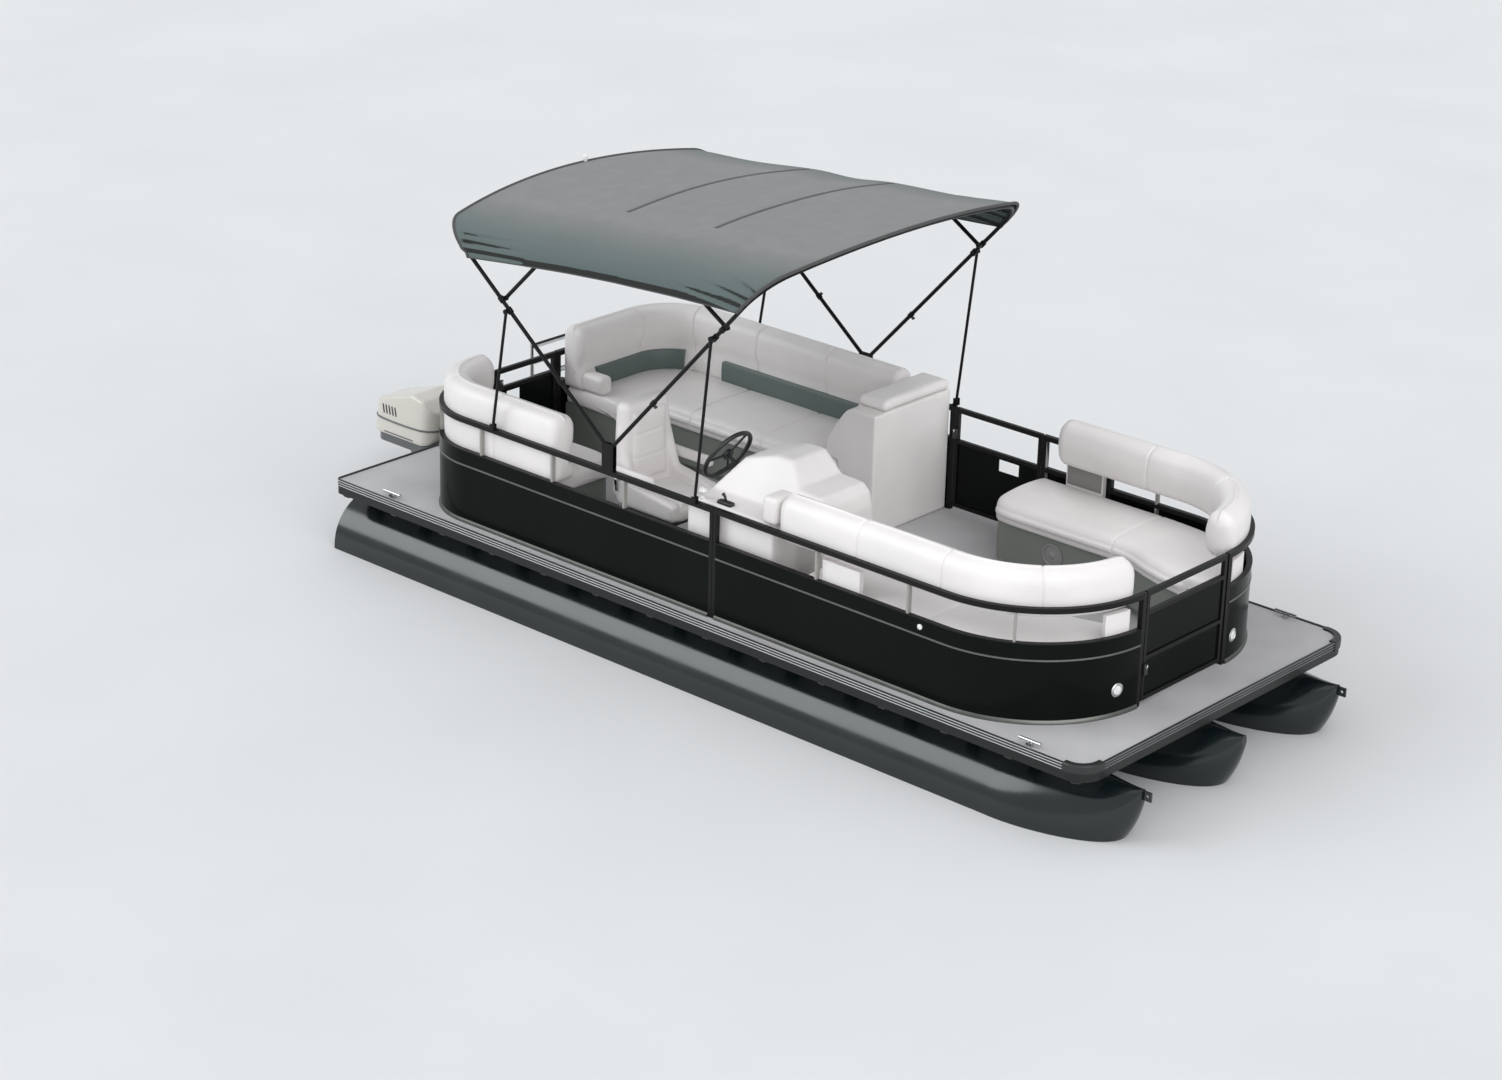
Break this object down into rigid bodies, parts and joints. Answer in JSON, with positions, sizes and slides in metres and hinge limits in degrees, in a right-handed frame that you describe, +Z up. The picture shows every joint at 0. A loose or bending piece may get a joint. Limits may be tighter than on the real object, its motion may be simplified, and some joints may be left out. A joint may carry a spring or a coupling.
{
  "type": "pontoon boat",
  "caption": "Open pontoon boat afloat, with fenced deck, wraparound lounges, helm, folding canopy on hinged bows, outboard engine and boarding ladder.",
  "frame": {"origin": "on the waterline, on the centreline, at the middle of the deck's length", "axes": "+X to the bow, +Y to port, +Z up"},
  "size_m": [7.218, 2.59, 3.4363],
  "materials": {
    "tube_paint": "dark blue-black painted aluminium with a soft gloss",
    "bare_aluminium": "satin extruded aluminium",
    "deck_floor": "pale grey textured vinyl floor",
    "black_frame": "black powder-coated tube",
    "fence_sheet": "glossy black aluminium sheet",
    "white_vinyl": "white marine vinyl",
    "seat_moulding": "grey-green moulded plastic",
    "console_moulding": "off-white moulded shell",
    "wheel_plastic": "black moulded grip",
    "stainless": "polished stainless steel",
    "canopy_tube": "black anodised tube",
    "canopy_cloth": "grey-green woven canvas",
    "engine_grey": "grey painted castings",
    "engine_white": "cream-white moulded cowl",
    "prop_metal": "cast stainless blades"
  },
  "bodies": {
    "root": {"aft_seat_back": "white_vinyl", "aft_seat_base": "seat_moulding", "aft_seat_cushion": "white_vinyl", "canopy": "canopy_cloth", "canopy_bow_aft": "canopy_tube", "canopy_mounts": "canopy_tube", "canopy_struts_aft": "canopy_tube", "cleats": "bare_aluminium", "cross_beams": "bare_aluminium", "deck": "deck_floor", "deck_trim": "bare_aluminium", "engine_bracket": "engine_grey", "fence_frame_port_aft": "black_frame", "fence_frame_port_bow": "black_frame", "fence_frame_port_middle": "black_frame", "fence_frame_starboard_aft": "black_frame", "fence_frame_starboard_bow": "black_frame", "fence_panel_port_aft": "fence_sheet", "fence_panel_port_bow": "fence_sheet", "fence_panel_port_middle": "fence_sheet", "fence_panel_starboard_aft": "fence_sheet", "fence_panel_starboard_bow": "fence_sheet", "helm_chair_pedestal": "stainless", "helm_console": "console_moulding", "ladder_arms": "stainless", "ladder_handrail": "stainless", "motor_mount": "tube_paint", "port_couch_back": "white_vinyl", "port_couch_base": "seat_moulding", "port_couch_cushion": "white_vinyl", "port_lounge_back": "white_vinyl", "port_lounge_base": "seat_moulding", "port_lounge_cushion": "white_vinyl", "port_lounge_end": "white_vinyl", "starboard_couch_back": "white_vinyl", "starboard_couch_base": "seat_moulding", "starboard_couch_cushion": "white_vinyl", "tube_centre": "tube_paint", "tube_port": "tube_paint", "tube_starboard": "tube_paint"},
    "port_gate": {"port_gate_frame": "black_frame", "port_gate_panel": "fence_sheet"},
    "bow_gate": {"bow_gate_frame": "black_frame", "bow_gate_panel": "fence_sheet"},
    "stern_gate": {"stern_gate_frame": "black_frame", "stern_gate_panel": "fence_sheet"},
    "canopy_fore": {"canopy_bow_fore": "canopy_tube"},
    "second_fore": {"canopy_second_bow_fore": "canopy_tube"},
    "second_aft": {"canopy_second_bow_aft": "canopy_tube"},
    "front_struts": {"canopy_struts_fore": "canopy_tube"},
    "engine_tilt": {"engine_swivel": "engine_grey"},
    "engine": {"engine_leg": "engine_grey", "engine_pan": "engine_grey", "engine_cowl": "engine_white"},
    "propeller": {"propeller": "prop_metal"},
    "wheel": {"steering_wheel": "wheel_plastic"},
    "chair": {"helm_chair": "white_vinyl"},
    "ladder": {"ladder": "stainless"}
  },
  "joints": [
    {"name": "port_gate_hinge", "type": "hinge", "parent": "root", "child": "port_gate", "pos_m": [0.799, 1.174, 0.86], "axis": [0, 0, 1], "range_deg": [0, 90]},
    {"name": "bow_gate_hinge", "type": "hinge", "parent": "root", "child": "bow_gate", "pos_m": [2.717, 0.394, 0.86], "axis": [0, 0, -1], "range_deg": [0, 90]},
    {"name": "stern_gate_hinge", "type": "hinge", "parent": "root", "child": "stern_gate", "pos_m": [-2.417, 0.104, 0.86], "axis": [0, 0, 1], "range_deg": [0, 90]},
    {"name": "canopy_fold", "type": "hinge", "parent": "root", "child": "canopy_fore", "pos_m": [-0.645, 0, 1.348], "axis": [0, -1, 0], "range_deg": [0, 84], "deforming": ["canopy"]},
    {"name": "second_aft_fold", "type": "hinge", "parent": "root", "child": "second_aft", "pos_m": [-1.59159, 0, 2.0567], "axis": [0, -1, 0], "range_deg": [0, 91]},
    {"name": "second_fore_fold", "type": "hinge", "parent": "canopy_fore", "child": "second_fore", "pos_m": [0.23496, 0, 2.31168], "axis": [0, 1, 0], "range_deg": [0, 97]},
    {"name": "front_strut_fold", "type": "hinge", "parent": "canopy_fore", "child": "front_struts", "pos_m": [0.17428, 0, 2.24522], "axis": [0, -1, 0], "range_deg": [-33, 0]},
    {"name": "engine_tilt_hinge", "type": "hinge", "parent": "root", "child": "engine_tilt", "pos_m": [-3.295, 0, 0.23], "axis": [0, 1, 0], "range_deg": [0, 65]},
    {"name": "engine_steering", "type": "hinge", "parent": "engine_tilt", "child": "engine", "pos_m": [-3.37, 0, 0], "axis": [0, 0, 1], "range_deg": [-30, 30]},
    {"name": "propeller_spin", "type": "hinge", "parent": "engine", "child": "propeller", "pos_m": [-3.74, 0, -0.495], "axis": [1, 0, 0], "continuous": true},
    {"name": "wheel_turn", "type": "hinge", "parent": "root", "child": "wheel", "pos_m": [-0.15, -0.7, 1.31], "axis": [-0.866, 0, 0.5], "range_deg": [-540, 540]},
    {"name": "chair_swivel", "type": "hinge", "parent": "root", "child": "chair", "pos_m": [-0.64, -0.7, 0.8], "axis": [0, 0, 1], "continuous": true},
    {"name": "ladder_fold", "type": "hinge", "parent": "root", "child": "ladder", "pos_m": [-3.18, 0.8, 0.465], "axis": [0, -1, 0], "range_deg": [0, 180]}
  ],
  "couplings": [
    {"joint": "second_aft_fold", "follows": "canopy_fold", "ratio": 1.0714},
    {"joint": "second_fore_fold", "follows": "canopy_fold", "ratio": 1.1429},
    {"joint": "front_strut_fold", "follows": "canopy_fold", "ratio": -0.38095},
    {"joint": "wheel_turn", "follows": "engine_steering", "ratio": -17.5}
  ]
}
